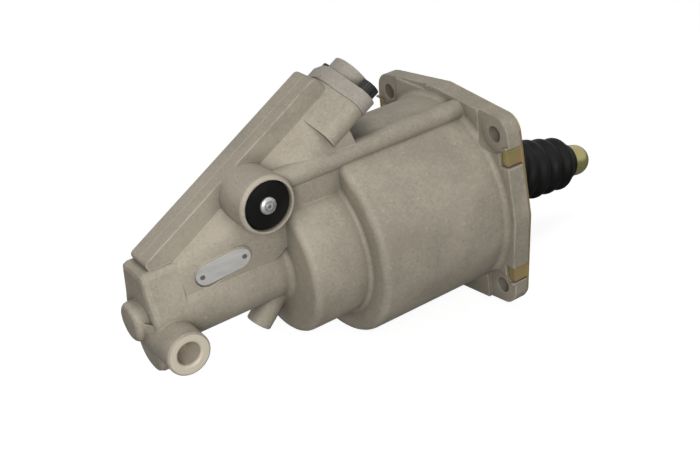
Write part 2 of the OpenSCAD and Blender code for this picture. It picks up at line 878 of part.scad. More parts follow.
module inlet_seat() {
    back = inlet_seat_front - inlet_seat_t;
    color([0.74, 0.6, 0.3]) valve_turned([
        [5.5, back],
        [valve_bore_d / 2, back],
        [valve_bore_d / 2, inlet_seat_front - 1.5],
        [6.9, inlet_seat_front - 1.5],
        [6.3, inlet_seat_front],
        [5.5, inlet_seat_front]
    ]);
}

module inlet_poppet() {
    color(rubber_colour) valve_turned([
        [0, inlet_seat_front],
        [poppet_r, inlet_seat_front],
        [poppet_r, inlet_seat_front + poppet_t],
        [3.4, inlet_seat_front + poppet_t],
        [3.4, cover_seat_t - 3],
        [0, cover_seat_t - 3]
    ]);
}

module valve_spring() {
    color(steel_colour) on_valve(0)
        coil(6, 6, inlet_seat_front + poppet_t + 0.05, cover_seat_t - spigot_l - 0.05, 3.5, 0.6, 16, 6);
}

// Hollow piston: its nose shuts the vent and then lifts the inlet poppet
module control_piston() {
    nose = inlet_seat_front - 0.4;
    head0 = control_head_back;
    head1 = control_head_front;
    hollow_end = control_tail_front + 5;
    color(steel_colour) difference() {
        valve_turned([
            [0, control_tail_back],
            [control_r, control_tail_back],
            [control_r, control_tail_front],
            [control_stem_r, control_tail_front],
            [control_stem_r, head0],
            [control_r, head0],
            [control_r, head0 + 2.5],
            [control_r - control_groove, head0 + 2.5],
            [control_r - control_groove, head1 - 2.5],
            [control_r, head1 - 2.5],
            [control_r, head1],
            [nose_r, head1],
            [nose_r, nose],
            [control_hollow_r, nose],
            [control_hollow_r, hollow_end],
            [0, hollow_end]
        ]);
        on_valve(hollow_end + 6) rotate([90, 0, 0]) cylinder(r = 2, h = 12, center = true, $fn = 24);
    }
}

module control_seal() {
    color(rubber_colour) valve_turned([
        [control_r - control_groove, control_head_back + 2.6],
        [control_r + 0.05, control_head_back + 2.6],
        [control_r + 0.05, control_head_front - 2.6],
        [control_r - control_groove, control_head_front - 2.6]
    ]);
}

module control_spring() {
    color(steel_colour) on_valve(0)
        coil(6.6, 6.6, control_head_front + 0.05, inlet_seat_front - inlet_seat_t - 0.05, 4.5, 0.7, 16, 6);
}

module control_plunger() {
    color(steel_colour) bar_t(control_plunger_r, control_plunger_back, control_tail_back);
}

module control_cup() {
    color(rubber_colour)
        bar_t(small_bore_r - 0.15, control_plunger_back - control_cup_l, control_plunger_back);
}

module vent_seat() {
    y0 = vent_face + vent_recess;
    color([0.3, 0.3, 0.32]) difference() {
        bar_y(flap_r + 0.4, vent_x, vent_z, y0, y0 - vent_seat_t);
        bar_y(1.9, vent_x, vent_z, y0 + over, y0 - vent_seat_t - over);
        for (a = [0:60:300])
            bar_y(1.8, vent_x + 5.4 * cos(a), vent_z + 5.4 * sin(a), y0 + over, y0 - vent_seat_t - over, 24);
    }
}

module vent_flap() {
    y0 = vent_face + vent_recess - vent_seat_t;
    color(rubber_colour) translate([vent_x, y0, vent_z]) rotate([90, 0, 0]) rotate_extrude($fn = round_fn)
        polygon([[1.9, 0], [flap_r, 0], [flap_r, 1.1], [flap_r - 0.7, flap_t], [7.5, flap_t + 0.5], [1.9, flap_t + 0.5]]);
}

module vent_pin() {
    y0 = vent_face + vent_recess - vent_seat_t - flap_t - 0.5;
    color([0.85, 0.85, 0.86]) translate([vent_x, y0, vent_z]) rotate([90, 0, 0]) rotate_extrude($fn = small_fn)
        polygon(concat(
            [[0, -6], [1.9, -6], [1.9, 0], [4.4, 0], [4.4, 0.5]],
            [for (i = [1:5]) [4.4 * cos(i * 15), 0.5 + 1.6 * sin(i * 15)]],
            [[0.8, 2.1], [0.8, 1], [0, 1]]
        ));
}

// Puts children on the nameplate's pad, with z pointing out of it
module on_nameplate() {
    translate(name_at) rotate([0, 0, name_yaw]) rotate([90 + name_lean, 0, 0])
        rotate([0, 0, name_roll]) children();
}

// Outline of the nameplate: a bar with round ends
module name_outline(grow = 0) {
    half = (name_l - name_w) / 2;
    square([2 * half, name_w + 2 * grow], center = true);
    for (s = [-1, 1]) translate([s * half, 0]) circle(r = name_w / 2 + grow, $fn = small_fn);
}

module id_plate() {
    color([0.85, 0.84, 0.83]) on_nameplate() linear_extrude(height = name_t) difference() {
        name_outline();
        for (s = [-1, 1]) translate([s * name_pitch / 2, 0]) circle(r = 1.3, $fn = 24);
    }
}

module id_rivets() {
    color([0.6, 0.6, 0.6]) on_nameplate() for (s = [-1, 1]) translate([s * name_pitch / 2, 0, 0])
        cylinder(r = 1.3, h = name_t + 0.4, $fn = 24);
}

module gallery_plug() {
    color(steel_colour) rotate([0, -valve_tilt, 0]) translate([gallery_t, 0, gallery_mouth + 0.6])
        cylinder(r = plug_r, h = plug_l - 0.6, $fn = 24);
}

housing();
end_plate();
air_piston();
piston_seal();
guide_ring();
plunger();
plunger_pin();
rod_retainer();
preload_spring();
guide_bush();
plunger_seal();
gland_circlip();
push_rod();
boot();
valve_cover();
cover_oring();
cover_screws();
inlet_seat();
inlet_poppet();
valve_spring();
control_piston();
control_seal();
control_spring();
control_plunger();
control_cup();
vent_seat();
vent_flap();
vent_pin();
id_plate();
id_rivets();
gallery_plug();
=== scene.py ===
"""Looks of an air-assisted clutch actuator: finishes for its castings and fittings, a
pleated boot, knurled cover screws, port threads and a plain studio."""

import math

import bpy
from mathutils import Matrix, Vector


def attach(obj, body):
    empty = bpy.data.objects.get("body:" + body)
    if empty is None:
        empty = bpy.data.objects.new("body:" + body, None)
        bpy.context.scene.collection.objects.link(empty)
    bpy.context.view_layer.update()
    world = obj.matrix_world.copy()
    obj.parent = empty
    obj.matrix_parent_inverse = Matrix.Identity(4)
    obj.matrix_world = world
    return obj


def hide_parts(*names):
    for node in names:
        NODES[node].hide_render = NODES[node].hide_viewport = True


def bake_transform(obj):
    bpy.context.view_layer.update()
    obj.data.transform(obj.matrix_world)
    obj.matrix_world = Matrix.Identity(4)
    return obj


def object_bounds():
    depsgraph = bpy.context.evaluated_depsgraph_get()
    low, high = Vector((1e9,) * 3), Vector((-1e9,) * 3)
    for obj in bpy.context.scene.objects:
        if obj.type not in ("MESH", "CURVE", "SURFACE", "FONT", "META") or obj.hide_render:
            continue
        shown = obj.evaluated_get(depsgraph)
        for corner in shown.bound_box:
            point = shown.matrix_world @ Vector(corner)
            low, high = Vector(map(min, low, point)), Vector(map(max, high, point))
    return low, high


bl_info = {
    "name": "Clutch Actuator",
    "version": (1, 0, 0),
    "blender": (4, 5, 0),
    "location": "View3D > Sidebar > Actuator",
    "description": "Dresses a packed clutch actuator with its finishes, boot and fittings",
    "category": "Object",
}

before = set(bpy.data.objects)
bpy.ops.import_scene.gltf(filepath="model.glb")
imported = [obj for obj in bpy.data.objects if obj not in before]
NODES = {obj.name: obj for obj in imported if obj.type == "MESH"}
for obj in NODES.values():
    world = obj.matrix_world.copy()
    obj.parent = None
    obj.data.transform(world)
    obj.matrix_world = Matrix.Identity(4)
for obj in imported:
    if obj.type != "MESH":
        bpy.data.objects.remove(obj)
CAD_BOX = [list(corner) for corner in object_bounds()]
MM = 0.001

# Places and sizes shared with the source of the solids, in metres and radians
BALL = Vector((-10, 0, 0)) * MM
DROOP = math.radians(11.3)
ROD_LENGTH = 101.7 * MM
VALVE_TILT = math.radians(30)
VALVE_AXIS = Vector((math.cos(VALVE_TILT), 0, math.sin(VALVE_TILT)))
VALVE_OUT = Vector((-math.sin(VALVE_TILT), 0, math.cos(VALVE_TILT)))
VALVE_OFF = 104 * MM
COVER_TOP = -20 * MM
PORT = Vector((-194, -33, -9)) * MM
VENT = Vector((-138, -31, 48.5)) * MM
COLLAR_TOP = -12 * MM
SCREW_SIDE = 18 * MM
BAR_TOP = 126 * MM

# Marks on the castings: the face and the bore of the fluid inlet, and the vent's rim
PORT_FACE_R = 10.5 * MM
PORT_FACE_Y = PORT.y + 0.25 * MM
PORT_BORE_R = 7.05 * MM
PORT_BORE_Y = -14.5 * MM
VENT_RIM_R = 14.2 * MM
VENT_RIM_Y = -29 * MM

# The boot, with distances from the ball's centre along its middle line
BOOT_START = 11.5 * MM
COLLAR_L = 7 * MM
BEND_L = 40 * MM
FIRST_CREST = 22.6 * MM
LAST_CREST = 85.2 * MM
BOOT_END = ROD_LENGTH - 6.8 * MM
COLLAR_R = 20.5 * MM
ROD_HEAD_R = 9.9 * MM
FIRST_CREST_R = 21.5 * MM
LAST_CREST_R = 16.3 * MM
FOLD_SHARPNESS = 1.35
RINGS_PER_PLEAT = 8
FOOT_RINGS = 5
SEAM_CREST = 2

# The camera as solved from the photograph, which is 700 pixels wide
CAMERA_PLACE = Vector((-352.46, -458.80, 288.05)) * MM
CAMERA_RIGHT = Vector((0.81688, -0.56488, -0.11670))
CAMERA_UP = Vector((0.35791, 0.33774, 0.87054))
CAMERA_BACK = Vector((-0.45233, -0.75289, 0.47807))
FOCAL_PIXELS = 1119.43
PHOTO_PIXELS = 700
SENSOR = 36

# Name, place, size in metres and power in watts of each lamp, and what they all face
LAMPS = (
    ("key", (-0.451, -0.581, 0.301), 0.35, 3.6),
    ("top", (-0.07, -0.19, 1.1), 0.6, 4.3),
    ("side", (0.8, -0.5, 0.3), 0.6, 0.15),
    ("back", (-0.3, 0.9, 0.12), 0.6, 1.5),
)
MIDDLE = Vector((-0.07, 0, 0.02))


def valve_point(along, side):
    """A point on the valve's axis or beside it."""
    return VALVE_AXIS * along + VALVE_OUT * VALVE_OFF + Vector((0, side, 0))


# Finishes


class Wire:
    """A socket of a material that takes part in plain arithmetic."""

    def __init__(self, finish, socket):
        self.finish = finish
        self.socket = socket

    def maths(self, operation, *values):
        return self.finish.node("ShaderNodeMath", {"operation": operation}, dict(enumerate(values)))

    def __add__(self, other):
        return self.maths("ADD", self, other)

    def __sub__(self, other):
        return self.maths("SUBTRACT", self, other)

    def __rsub__(self, other):
        return self.maths("SUBTRACT", other, self)

    def __mul__(self, other):
        return self.maths("MULTIPLY", self, other)

    def __pow__(self, other):
        return self.maths("POWER", self, other)

    def __abs__(self):
        return self.maths("ABSOLUTE", self)

    __radd__ = __add__

    def most(self, other):
        return self.maths("MAXIMUM", self, other)

    def sine(self):
        return self.maths("SINE", self)

    def ramp(self, low, high):
        """Goes smoothly from 0 to 1 while this goes from low to high."""
        return self.finish.node(
            "ShaderNodeMapRange", {"interpolation_type": "SMOOTHSTEP"}, {0: self, 1: low, 2: high})


class Finish:
    """A material on object coordinates, with its principled shader ready."""

    def __init__(self, name, **constants):
        self.material = bpy.data.materials.new(name)
        self.material.use_nodes = True
        self.tree = self.material.node_tree
        self.shader = self.tree.nodes["Principled BSDF"]
        self.rounded = None
        for socket, value in constants.items():
            self.shader.inputs[socket.replace("_", " ")].default_value = value
        self.place = self.node("ShaderNodeTexCoord", output="Object")
        parts = self.node("ShaderNodeSeparateXYZ", inputs={0: self.place}).socket.node
        self.x, self.y, self.z = (Wire(self, parts.outputs[i]) for i in range(3))

    def node(self, kind, settings=None, inputs=None, output=0):
        """Adds a node with its settings and inputs, and gives one of its outputs."""
        made = self.tree.nodes.new(kind)
        for key, value in (settings or {}).items():
            if key == "stops":
                while len(made.color_ramp.elements) < len(value):
                    made.color_ramp.elements.new(0.5)
                for element, (at, colour) in zip(made.color_ramp.elements, value):
                    element.position = at
                    element.color = (*colour, 1)
            else:
                setattr(made, key, value)
        for key, value in (inputs or {}).items():
            self.join(made.inputs[key], value)
        return Wire(self, made.outputs[output])

    def join(self, socket, value):
        if isinstance(value, Wire):
            self.tree.links.new(value.socket, socket)
        else:
            socket.default_value = value

    def set(self, socket, value):
        self.join(self.shader.inputs[socket], value)

    def noise(self, scale, detail, roughness, stretch=None):
        at = self.place
        if stretch:
            at = self.node("ShaderNodeMapping", inputs={"Vector": at, "Scale": stretch})
        return self.node(
            "ShaderNodeTexNoise",
            inputs={"Vector": at, "Scale": scale, "Detail": detail, "Roughness": roughness},
        )

    def cells(self, scale, turn, stretch):
        """Distance from scattered points, drawn out into dashes by the turn and the stretch."""
        at = self.node("ShaderNodeMapping",
                       inputs={"Vector": self.place, "Rotation": turn, "Scale": stretch})
        return self.node("ShaderNodeTexVoronoi", inputs={"Vector": at, "Scale": scale})

    def colour(self, mask, low, high):
        """Goes from the colour low to the colour high as mask goes from 0 to 1."""
        as_colour = [c if isinstance(c, Wire) else (*c, 1) for c in (low, high)]
        return self.node(
            "ShaderNodeMix", {"data_type": "RGBA"}, {0: mask, 6: as_colour[0], 7: as_colour[1]}, 2
        )

    def soften(self, radius, samples=6):
        """Rounds the shading of every edge and says where the edges are, from 0 to 1."""
        self.rounded = self.node("ShaderNodeBevel", {"samples": samples}, {"Radius": radius})
        flat = self.node("ShaderNodeNewGeometry", output="Normal")
        same = self.node("ShaderNodeVectorMath", {"operation": "DOT_PRODUCT"},
                         {0: self.rounded, 1: flat}, "Value")
        return same.ramp(0.998, 0.93)

    def bump(self, height, depth, strength):
        inputs = {"Height": height, "Distance": depth, "Strength": strength}
        if self.rounded:
            inputs["Normal"] = self.rounded
        self.set("Normal", self.node("ShaderNodeBump", inputs=inputs))

    def apart(self, centre):
        """Distance from the line through centre that runs along Y."""
        across, up = self.x - centre.x, self.z - centre.z
        return (across * across + up * up) ** 0.5


def shade(colour, factor):
    return tuple(min(1.0, c * factor) for c in colour)


def blasted(finish, base):
    """Skin that both castings share: tone, edges lightened in patches as wear and painted
    highlight, nicks, painted shade in the hollows, and the height of its grain.
    """
    cloud = finish.noise(16, 4, 0.6)
    patch = finish.noise(55, 4, 0.65)
    grain = finish.noise(650, 3, 0.75)
    specks = finish.noise(480, 1, 0.5)
    edge = finish.soften(1.3 * MM)
    tone = cloud * 0.38 + patch * 0.3 + grain * 0.32
    body = finish.colour(tone.ramp(0.38, 0.62), shade(base, 0.82), shade(base, 1.13))

    # Bright and dark specks left by the blasting
    body = finish.colour(specks.ramp(0.66, 0.76) * 0.4, body, shade(base, 1.35))
    body = finish.colour(specks.ramp(0.33, 0.24) * 0.4, body, shade(base, 0.6))

    # Edges lightened in patches, partly as rubbed wear and partly as a painted highlight, and short
    # nicks in two directions
    worn_and_highlit = edge * patch.ramp(0.32, 0.58)
    body = finish.colour(worn_and_highlit * 0.75, body, shade(base, 1.6))
    dashes = finish.cells(90, turn=(0.2, 0.6, 0.5), stretch=(0.4, 3, 3)).ramp(0.09, 0.03)
    scores = finish.cells(70, turn=(1.1, -0.7, 1.9), stretch=(0.4, 3.5, 3.5)).ramp(0.08, 0.03)
    nicks = dashes.most(scores) * patch.ramp(0.42, 0.6)
    body = finish.colour(nicks * 0.6, body, shade(base, 1.6))

    # Painted shade in the hollows, darker where the occlusion node finds them closed in
    hollow_shade = finish.node("ShaderNodeAmbientOcclusion", {"samples": 8}, {"Distance": 14 * MM}, 1)
    body = finish.colour(hollow_shade.ramp(0.92, 0.3) * (0.55 + patch * 0.4), body, shade(base, 0.32))
    height = grain * 0.6 + patch * 0.7 + specks * 0.25 - nicks * 0.6
    return body, tone, height


def cast_aluminium(settings):
    """Blasted die casting: fine grain, cloudy oxide, parting line, turned fluid inlet."""
    finish = Finish("cast_aluminium", IOR=1.5, Specular_IOR_Level=0.25)
    base = tuple(settings.cast_colour)
    body, tone, height = blasted(finish, base)

    # The parting line of the dies, along the middle of the bar's top
    out = finish.x * VALVE_OUT.x + finish.z * VALVE_OUT.z
    seam = abs(finish.y).ramp(0.55 * MM, 0.2 * MM) * out.ramp(BAR_TOP - 0.6 * MM, BAR_TOP)
    body = finish.colour(seam * 0.45, body, shade(base, 1.5))
    height = height + seam * 1.2

    # The vent's rim, and the fluid inlet as turned
    rim = abs(finish.apart(VENT) - VENT_RIM_R).ramp(1.5 * MM, 0.9 * MM)
    rim = rim * finish.y.ramp(VENT_RIM_Y + 1 * MM, VENT_RIM_Y - 1 * MM)
    body = finish.colour(rim * (0.2 + tone * 0.4), body, shade(base, 1.5))
    port = finish.apart(PORT)
    face = port.ramp(PORT_FACE_R + 0.2 * MM, PORT_FACE_R - 0.2 * MM)
    face = face * finish.y.ramp(PORT_FACE_Y + 0.15 * MM, PORT_FACE_Y - 0.15 * MM)
    bore = port.ramp(PORT_BORE_R + 0.15 * MM, PORT_BORE_R - 0.15 * MM)
    bore = bore * finish.y.ramp(PORT_BORE_Y + 0.5 * MM, PORT_BORE_Y - 0.5 * MM)
    turned = face.most(bore)
    rings = (port * (2 * math.pi / (0.35 * MM))).sine()

    finish.set("Base Color", finish.colour(turned, body, shade(base, 1.8)))
    finish.set("Roughness", (0.52 + tone * 0.18) * (1 - turned * 0.3))
    finish.set("Metallic", 0.04)
    finish.bump(height * (1 - turned * 0.7) + rings * 0.1 * turned, 0.1 * MM, 0.7)
    return finish.material


def cover_aluminium(settings):
    """Cover of the valve: a greyer casting, turned on the collar's rim."""
    finish = Finish("cover_aluminium", IOR=1.5, Specular_IOR_Level=0.25)
    base = tuple(c * f for c, f in zip(settings.cast_colour, (0.96, 0.98, 1.05)))
    body, tone, height = blasted(finish, base)
    along = finish.x * VALVE_AXIS.x + finish.z * VALVE_AXIS.z
    rim = along.ramp(COLLAR_TOP - 0.4 * MM, COLLAR_TOP - 0.15 * MM)
    finish.set("Base Color", finish.colour(rim, body, shade(base, 1.2)))
    finish.set("Roughness", (0.5 + tone * 0.16) * (1 - rim * 0.3))
    finish.set("Metallic", 0.04)
    finish.bump(height, 0.1 * MM, 0.7)
    return finish.material


def yellow_zinc(settings):
    """Yellow passivated zinc: straw that drifts to olive and rose, with softened edges."""
    finish = Finish("yellow_zinc", IOR=1.5)
    finish.soften(0.9 * MM, 4)
    base = tuple(settings.zinc_colour)
    drift = finish.noise(42, 1, 0.5)
    fine = finish.noise(700, 2, 0.6)
    tint = finish.node("ShaderNodeValToRGB", {"stops": (
        (0.3, (base[0] * 0.8, base[1] * 0.9, base[2] * 0.8)),
        (0.46, base),
        (0.56, (base[0] * 1.1, base[1] * 0.94, base[2] * 1.1)),
        (0.7, (base[0] * 1.08, base[1] * 1.1, base[2] * 0.8)),
    )}, {0: drift})
    finish.set("Base Color", tint)
    finish.set("Metallic", 0.5)
    finish.set("Roughness", 0.18 + drift * 0.18 + fine * 0.06)
    finish.bump(fine * 0.5 + drift * 0.5, 0.04 * MM, 0.5)
    return finish.material


def moulded_rubber(settings):
    """Black rubber with a faint bloom and a fine moulded skin."""
    finish = Finish("moulded_rubber", IOR=1.5, Specular_IOR_Level=0.12)
    base = tuple(settings.rubber_colour)
    bloom = finish.noise(45, 4, 0.65)
    skin = finish.noise(1300, 2, 0.6)
    dust = bloom.ramp(0.4, 0.72)
    finish.set("Base Color", finish.colour(dust, base, shade(base, 1.9)))
    finish.set("Roughness", 0.44 + dust * 0.16 + skin * 0.06)
    finish.bump(skin * 0.6 + bloom * 0.6, 0.05 * MM, 0.6)
    return finish.material


def metal(name, colour, metallic, roughness, mark_scale=420, stretch=None):
    """Plain worked metal: small marks and a slight drift of tone."""
    finish = Finish(name, IOR=1.5)
    marks = finish.noise(mark_scale, 3, 0.6, stretch)
    drift = finish.noise(40, 2, 0.5)
    finish.set("Base Color", finish.colour(
        (marks * 0.5 + drift * 0.5).ramp(0.35, 0.65), shade(colour, 0.82), shade(colour, 1.1)))
    finish.set("Metallic", metallic)
    finish.set("Roughness", roughness * 0.8 + marks * roughness * 0.4)
    finish.bump(marks, 0.03 * MM, 0.5)
    return finish.material


def hollow_pin():
    """Bright rivet of the vent's flap: a spun rim round a dished head, with painted shade darkening
    its mouth and a groove.
    """
    finish = Finish("hollow_pin", IOR=1.5)
    finish.soften(0.4 * MM, 4)
    away = finish.apart(VENT)
    marks = finish.noise(520, 3, 0.65)
    mouth = (away + marks * 0.5 * MM).ramp(1.3 * MM, 0.8 * MM)
    groove = abs(away - 2.3 * MM).ramp(0.5 * MM, 0.1 * MM)
    # Painted shade: the mouth and the groove are coloured nearly black, as if the hollow there lay
    # in shadow
    painted_hole_shade = mouth.most(groove * (0.35 + marks * 0.3))
    light = finish.colour(marks.ramp(0.35, 0.65), (0.42, 0.41, 0.4), (0.66, 0.65, 0.63))
    finish.set("Base Color", finish.colour(painted_hole_shade, light, (0.03, 0.029, 0.028)))
    finish.set("Metallic", 0.6)
    finish.set("Roughness", 0.3 + marks * 0.2)
    finish.bump(marks * 0.3 - groove - mouth * 2, 0.12 * MM, 0.7)
    return finish.material


def moulded_plastic():
    """Dark moulded plastic with a fine even grain."""
    finish = Finish("moulded_plastic", IOR=1.5)
    grain = finish.noise(1100, 2, 0.5)
    drift = finish.noise(60, 2, 0.5)
    finish.set("Base Color", finish.colour(drift, (0.05, 0.052, 0.055), (0.085, 0.086, 0.09)))
    finish.set("Roughness", 0.42 + grain * 0.15)
    finish.bump(grain, 0.03 * MM, 0.5)
    return finish.material


def dress(material, *nodes):
    """Gives nodes of the solids a finish."""
    for name in nodes:
        node = NODES[name]
        node.data.materials.clear()
        node.data.materials.append(material)


# Modelling


def settle(name, material):
    """Names the active object, gives it its finish and puts its place into its mesh."""
    piece = bpy.context.object
    piece.name = name
    piece.data.name = name
    bpy.ops.object.transform_apply(location=True, rotation=True, scale=True)
    piece.data.materials.clear()
    piece.data.materials.append(material)
    return piece


def modify(piece, kind, **values):
    """Adds a modifier with its values and applies it."""
    modifier = piece.modifiers.new(kind.title(), kind)
    for key, value in values.items():
        setattr(modifier, key, value)
    bpy.context.view_layer.objects.active = piece
    bpy.ops.object.modifier_apply(modifier=modifier.name)


def edit(piece, mode="VERT"):
    bpy.context.view_layer.objects.active = piece
    bpy.ops.object.mode_set(mode="EDIT")
    bpy.ops.mesh.select_mode(type=mode)


def pick_faces(piece, wanted):
    """Selects only the faces whose centre and normal pass the test."""
    bpy.ops.mesh.select_all(action="DESELECT")
    bpy.ops.object.mode_set(mode="OBJECT")
    for face in piece.data.polygons:
        face.select = wanted(face)
    bpy.ops.object.mode_set(mode="EDIT")


def along_valve(piece, along, side=0.0):
    """Stands a piece that was made on Z onto the valve."""
    piece.matrix_world = Matrix.Translation(valve_point(along, side)) @ (
        Matrix.Rotation(math.pi / 2 - VALVE_TILT, 4, "Y"))


def boot_point(distance):
    """Centre of the boot at a distance from the ball, square to the plate and then on the rod."""
    w = max(0.0, min(1.0, (distance - BOOT_START - COLLAR_L) / BEND_L))
    w = w * w * (3 - 2 * w)
    level = BALL + Vector((distance, 0, 0))
    drooped = BALL + Vector((math.cos(DROOP), 0, -math.sin(DROOP))) * distance
    return level.lerp(drooped, w)


def boot_tilt(distance):
    """How far the boot's middle line points down there, in radians."""
    span = boot_point(distance + 0.5 * MM) - boot_point(distance - 0.5 * MM)
    return math.atan2(-span.z, span.x)


def boot_rings(settings):
    """Distance and outer radius of each ring, from the plate's collar to the lip."""
    foot = COLLAR_R + settings.boot_wall
    lip = ROD_HEAD_R + settings.boot_wall * 0.8
    rings = [
        (BOOT_START, foot), (BOOT_START + 0.5 * MM, foot + 0.3 * MM),
        (BOOT_START + 6 * MM, foot + 0.3 * MM), (BOOT_START + COLLAR_L, foot),
        (BOOT_START + COLLAR_L + 0.9 * MM, foot - 1.5 * MM),
    ]
    gaps = settings.boot_pleats - 1
    pitch = (LAST_CREST - FIRST_CREST) / gaps
    for i in range(-1, gaps * RINGS_PER_PLEAT + 3):
        k = i / RINGS_PER_PLEAT
        crest = FIRST_CREST_R + (LAST_CREST_R - FIRST_CREST_R) * k / gaps
        fold = (0.5 - 0.5 * math.cos(2 * math.pi * k)) ** FOLD_SHARPNESS
        rings.append((FIRST_CREST + k * pitch, crest - settings.pleat_depth * fold))
    rings += [
        (LAST_CREST + 4.2 * MM, 14.0 * MM), (LAST_CREST + 5.6 * MM, 12.2 * MM),
        (LAST_CREST + 6.6 * MM, lip + 0.5 * MM), (BOOT_END - 0.9 * MM, lip + 0.3 * MM),
        (BOOT_END, lip - 0.1 * MM),
    ]
    return rings


def sleeve(name, rings, settings, material):
    """Extrudes a ring of the boot from station to station, then thickens and smooths it."""
    bpy.ops.object.select_all(action="DESELECT")
    at, radius = rings[0]
    tilt = boot_tilt(at)
    bpy.ops.mesh.primitive_circle_add(
        vertices=settings.boot_sides, radius=radius, location=boot_point(at),
        rotation=(0, math.pi / 2 + tilt, 0))
    piece = settle(name, material)
    edit(piece)
    bpy.ops.mesh.select_all(action="SELECT")
    for (last, last_r), (at, radius) in zip(rings, rings[1:]):
        centre = boot_point(at)
        turn = boot_tilt(at) - boot_tilt(last)
        bpy.ops.mesh.extrude_region_move(
            TRANSFORM_OT_translate={"value": centre - boot_point(last)})
        grow = radius / last_r
        bpy.ops.transform.resize(value=(grow, grow, grow), center_override=centre)
        bpy.ops.transform.rotate(value=-turn, orient_axis="Y", center_override=centre)
    bpy.ops.mesh.select_all(action="SELECT")
    bpy.ops.mesh.normals_make_consistent(inside=False)
    bpy.ops.object.mode_set(mode="OBJECT")
    modify(piece, "SOLIDIFY", thickness=settings.boot_wall, offset=-1, use_even_offset=False)
    modify(piece, "SUBSURF", levels=1, render_levels=1)
    bpy.ops.object.shade_smooth()
    return piece


# Add-on


class ActuatorSettings(bpy.types.PropertyGroup):
    cast_colour: bpy.props.FloatVectorProperty(
        name="Casting", description="Colour of the blasted aluminium", subtype="COLOR",
        size=3, min=0, max=1, default=(0.385, 0.343, 0.275))
    zinc_colour: bpy.props.FloatVectorProperty(
        name="Zinc", description="Colour of the yellow passivated zinc", subtype="COLOR",
        size=3, min=0, max=1, default=(0.46, 0.385, 0.165))
    rubber_colour: bpy.props.FloatVectorProperty(
        name="Rubber", description="Colour of the boot and the seals", subtype="COLOR",
        size=3, min=0, max=1, default=(0.0072, 0.0068, 0.0065))
    boot_pleats: bpy.props.IntProperty(
        name="Pleats", description="Number of pleats of the boot", default=7, min=4, max=10)
    boot_sides: bpy.props.IntProperty(
        name="Boot sides", description="Sides of each ring of the boot", default=48, min=24, max=96)
    boot_wall: bpy.props.FloatProperty(
        name="Boot wall", description="Thickness of the boot's rubber", default=1.3 * MM,
        min=1 * MM, max=2.5 * MM, unit="LENGTH")
    pleat_depth: bpy.props.FloatProperty(
        name="Pleat depth", description="Depth of the boot's folds", default=3.2 * MM,
        min=1 * MM, max=5 * MM, unit="LENGTH")
    knurls: bpy.props.IntProperty(
        name="Knurls", description="Ribs round each cover screw's head", default=22, min=16, max=60)
    thread_pitch: bpy.props.FloatProperty(
        name="Thread pitch", description="Pitch of the threads in both inlets", default=1.5 * MM,
        min=0.75 * MM, max=2 * MM, unit="LENGTH")


class ACTUATOR_OT_castings(bpy.types.Operator):
    """Give the housing, the valve cover and the inner metal pieces their finishes"""

    bl_idname = "actuator.castings"
    bl_label = "Finish metal pieces"

    def execute(self, context):
        settings = context.scene.actuator
        dress(cast_aluminium(settings), "housing")
        dress(cover_aluminium(settings), "valve_cover")
        dress(yellow_zinc(settings), "end_plate", "push_rod")
        dress(metal("turned_steel", (0.5, 0.5, 0.51), 0.95, 0.3),
              "air_piston", "plunger", "plunger_pin", "control_piston", "control_plunger")
        dress(metal("spring_steel", (0.32, 0.32, 0.34), 0.9, 0.35),
              "preload_spring", "valve_spring", "control_spring", "rod_retainer", "gland_circlip")
        dress(metal("bronze", (0.5, 0.34, 0.16), 0.95, 0.32), "guide_bush", "inlet_seat")
        dress(metal("bright_steel", (0.66, 0.66, 0.67), 0.9, 0.28), "gallery_plug")
        dress(hollow_pin(), "vent_pin")
        dress(metal("dull_rivet", (0.2, 0.19, 0.175), 0.4, 0.45), "id_rivets")
        dress(metal("sheet_aluminium", (0.62, 0.605, 0.58), 0.15, 0.4,
                    mark_scale=300, stretch=(0.12, 1, 1)), "id_plate")
        dress(moulded_plastic(), "guide_ring", "vent_seat")
        return {"FINISHED"}


class ACTUATOR_OT_boot(bpy.types.Operator):
    """Make the pleated boot in two sleeves that meet on a crest, and finish the rubber parts"""

    bl_idname = "actuator.boot"
    bl_label = "Boot and rubber"

    def execute(self, context):
        settings = context.scene.actuator
        rubber = moulded_rubber(settings)
        dress(rubber, "boot", "piston_seal", "plunger_seal", "cover_oring", "inlet_poppet",
              "control_seal", "control_cup", "vent_flap")
        rings = boot_rings(settings)
        meet = FOOT_RINGS + 1 + SEAM_CREST * RINGS_PER_PLEAT
        after, radius = rings[meet + 1]
        tucked = (after, radius - 0.6 * MM)
        root = sleeve("boot_root", rings[:meet + 1] + [tucked], settings, rubber)
        end = sleeve("boot_end", rings[meet:], settings, rubber)
        middle = boot_point(rings[meet][0])
        boot_point(BOOT_START + COLLAR_L)
        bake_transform(root)
        boot_point(LAST_CREST)
        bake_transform(end)
        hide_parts("boot")
        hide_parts("boot")
        return {"FINISHED"}


